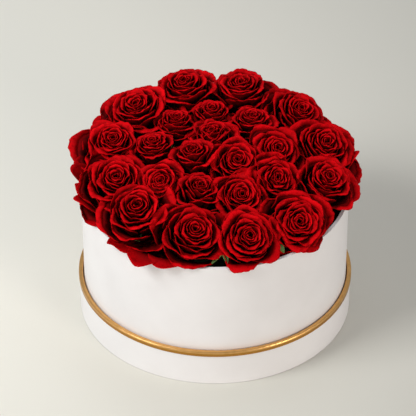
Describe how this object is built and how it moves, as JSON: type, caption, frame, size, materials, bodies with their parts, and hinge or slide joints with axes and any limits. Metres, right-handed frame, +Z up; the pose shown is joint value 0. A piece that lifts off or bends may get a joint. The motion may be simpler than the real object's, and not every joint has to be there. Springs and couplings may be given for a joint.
{
  "type": "flower box",
  "caption": "Round paper-covered gift box standing in its own upturned, gold-edged lid, filled with a low dome of red roses set in floral foam.",
  "frame": {"origin": "centre of the lid's underside, on the surface that the box stands on", "axes": "+Z up along the box's axis, -Y towards the viewer, where the dome of roses leans, +X to the viewer's right"},
  "size_m": [0.2605, 0.2604, 0.1812],
  "materials": {
    "board": "matte greyboard",
    "white_paper": "satin covering paper",
    "gold_foil": "satin gold edging",
    "liner_plastic": "matte",
    "floral_foam": "matte, soaked with water",
    "leaf_green": "satin plant skin",
    "stem_green": "satin plant skin",
    "rose_petal": "velvet petal"
  },
  "bodies": {
    "lid": {"lid_disc": "board", "lid_hoop": "board", "lid_sheet": "white_paper", "lid_wrap": "white_paper", "gold_edging": "gold_foil"},
    "box": {"box_tube": "board", "box_bottom": "board", "box_base_sheet": "white_paper", "box_wrap": "white_paper"},
    "arrangement": {"liner": "liner_plastic", "foam": "floral_foam", "rose_bloom_01": "rose_petal", "rose_bloom_02": "rose_petal", "rose_bloom_03": "rose_petal", "rose_bloom_04": "rose_petal", "rose_bloom_05": "rose_petal", "rose_bloom_06": "rose_petal", "rose_bloom_07": "rose_petal", "rose_bloom_08": "rose_petal", "rose_bloom_09": "rose_petal", "rose_bloom_10": "rose_petal", "rose_bloom_11": "rose_petal", "rose_bloom_12": "rose_petal", "rose_bloom_13": "rose_petal", "rose_bloom_14": "rose_petal", "rose_bloom_15": "rose_petal", "rose_bloom_16": "rose_petal", "rose_bloom_17": "rose_petal", "rose_bloom_18": "rose_petal", "rose_bloom_19": "rose_petal", "rose_bloom_20": "rose_petal", "rose_bloom_21": "rose_petal", "rose_bloom_22": "rose_petal", "rose_bloom_23": "rose_petal", "rose_bloom_24": "rose_petal", "outer_calyxes": "leaf_green", "middle_calyxes": "leaf_green", "centre_calyxes": "leaf_green", "outer_stems": "stem_green", "middle_stems": "stem_green", "centre_stems": "stem_green"}
  },
  "joints": [
    {"name": "box_lift", "type": "slide", "parent": "lid", "child": "box", "axis": [0, 0, 1], "range_m": [0, 0.05]},
    {"name": "arrangement_lift", "type": "slide", "parent": "box", "child": "arrangement", "axis": [0, 0, 1], "range_m": [0, 0.14]}
  ]
}
